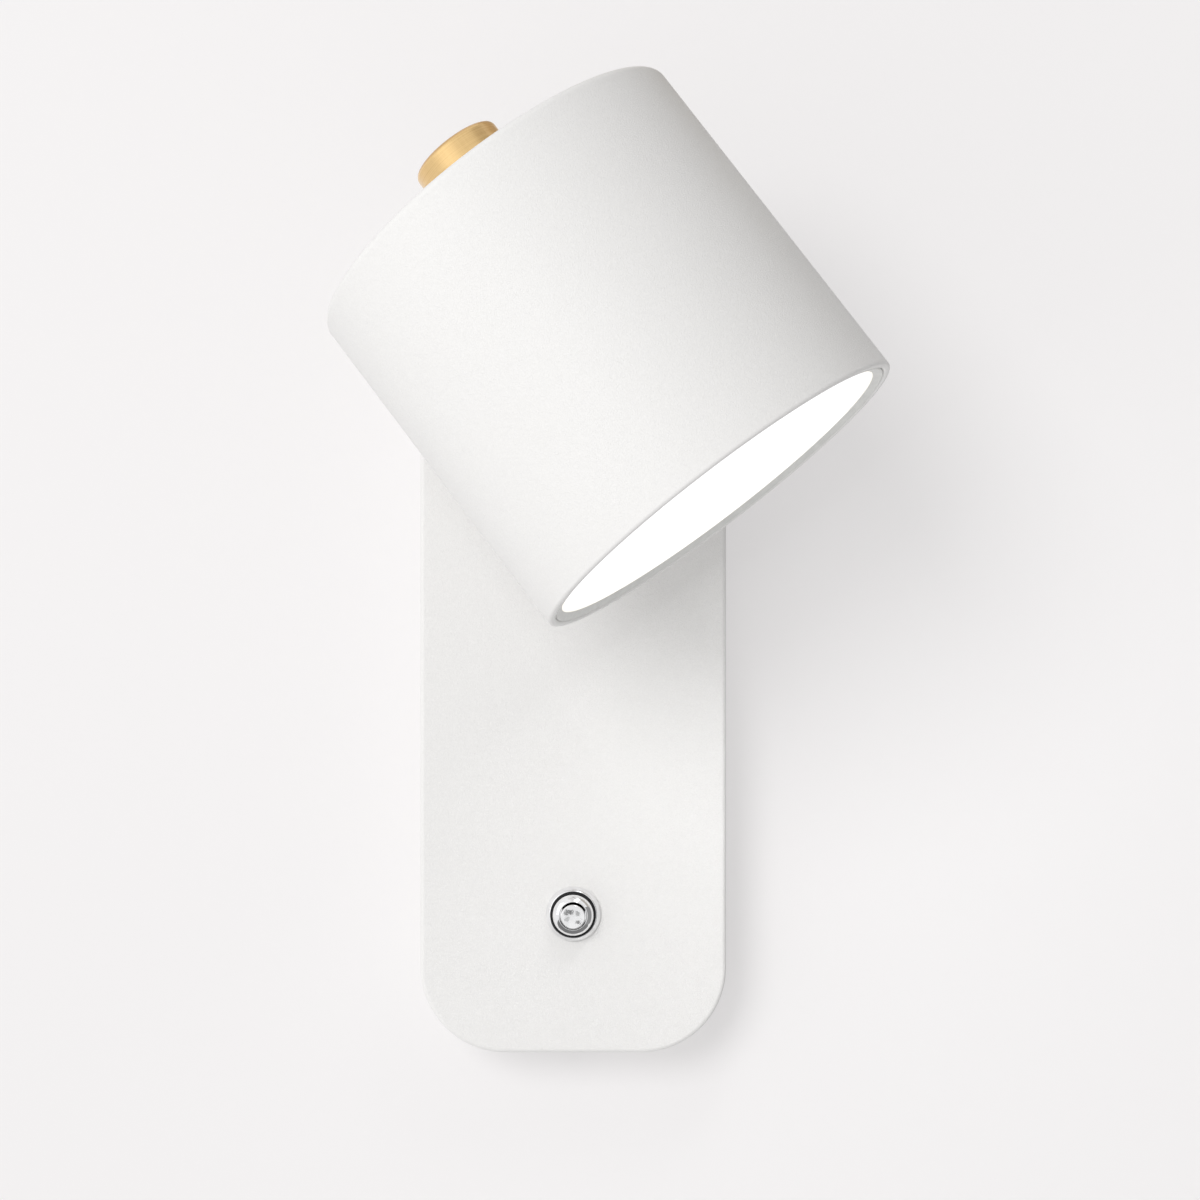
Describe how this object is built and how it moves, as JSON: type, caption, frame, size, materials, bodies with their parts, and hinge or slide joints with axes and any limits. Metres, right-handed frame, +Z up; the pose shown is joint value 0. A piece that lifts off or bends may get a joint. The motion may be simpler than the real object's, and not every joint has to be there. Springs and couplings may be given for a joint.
{
  "type": "adjustable wall light",
  "caption": "Wall light with a round-cornered plate, a drum shade on a swivel and tilt knuckle, an opal diffuser, a brass cap and a push switch.",
  "frame": {"origin": "centre of the wall bracket's slots, on the wall plane", "axes": "+Y into the wall, +Z up along the wall plate, +X to the right of someone who faces the wall"},
  "size_m": [0.1463, 0.1778, 0.2728],
  "materials": {
    "white_coat": "fine textured matt white powder coat",
    "zinc_steel": "zinc plated",
    "spring_steel": "bright spring steel",
    "satin_brass": "turned and satin brushed, lacquered",
    "terminal_brass": "bright machined",
    "chrome": "polished",
    "black_seal": "matt black",
    "black_plastic": "moulded",
    "white_plastic": "moulded",
    "nylon": "natural nylon",
    "opal": "satin opal acrylic",
    "aluminium": "turned",
    "led_phosphor": "yellow phosphor",
    "brown_lead": "PVC insulation",
    "blue_lead": "PVC insulation",
    "green_lead": "PVC insulation, green and yellow",
    "white_lead": "PVC insulation"
  },
  "bodies": {
    "root": {"driver_fixings": "zinc_steel", "driver_lid": "white_plastic", "earth_lead": "green_lead", "earth_screw": "zinc_steel", "earth_tab": "terminal_brass", "led_driver": "white_plastic", "live_lead": "brown_lead", "neutral_lead": "blue_lead", "output_leads": "white_lead", "plate_screws": "zinc_steel", "stop_stud": "zinc_steel", "switch_back_nut": "zinc_steel", "switch_body": "black_plastic", "switch_bushing": "chrome", "switch_dome_ring": "chrome", "switch_flange": "chrome", "switch_seal": "black_seal", "switch_spring": "spring_steel", "switch_tags": "terminal_brass", "switched_lead": "brown_lead", "swivel_inner_washer": "nylon", "swivel_outer_washer": "nylon", "terminal_block": "white_plastic", "terminal_fixings": "zinc_steel", "terminal_inserts": "terminal_brass", "terminal_screws": "terminal_brass", "wall_bracket": "zinc_steel", "wall_plate": "white_coat"},
    "arm": {"swivel_nipple": "zinc_steel", "swivel_nut": "zinc_steel", "swivel_spring_washer": "spring_steel", "stop_washer": "zinc_steel", "knuckle_fork": "white_coat", "pivot_bolt": "zinc_steel", "pivot_nut": "zinc_steel", "tilt_washers": "nylon"},
    "head": {"shade_bracket": "white_coat", "backing_plate": "zinc_steel", "bracket_screws": "zinc_steel", "lead_grommet": "black_seal", "shade": "white_coat", "brass_cap": "satin_brass", "cap_stud": "zinc_steel", "heat_spreader": "aluminium", "led_board": "aluminium", "leds": "led_phosphor", "board_screws": "zinc_steel", "board_connector": "white_plastic", "head_leads": "white_lead", "reflector": "white_plastic", "diffuser": "opal", "diffuser_ring": "white_plastic"},
    "button": {"switch_button": "chrome"}
  },
  "joints": [
    {"name": "arm_swivel", "type": "hinge", "parent": "root", "child": "arm", "pos_m": [0, -0.025, 0.0865], "axis": [0, -1, 0], "range_deg": [-201.1, 126.9]},
    {"name": "head_tilt", "type": "hinge", "parent": "arm", "child": "head", "pos_m": [0, -0.043, 0.0865], "axis": [-0.7976, 0, -0.6032], "range_deg": [-27.3, 52.7]},
    {"name": "button_press", "type": "slide", "parent": "root", "child": "button", "axis": [0, 1, 0], "range_m": [0, 0.002], "stiffness_N_per_m": 700, "springref_m": -0.001, "deforming": ["switch_spring"]}
  ]
}
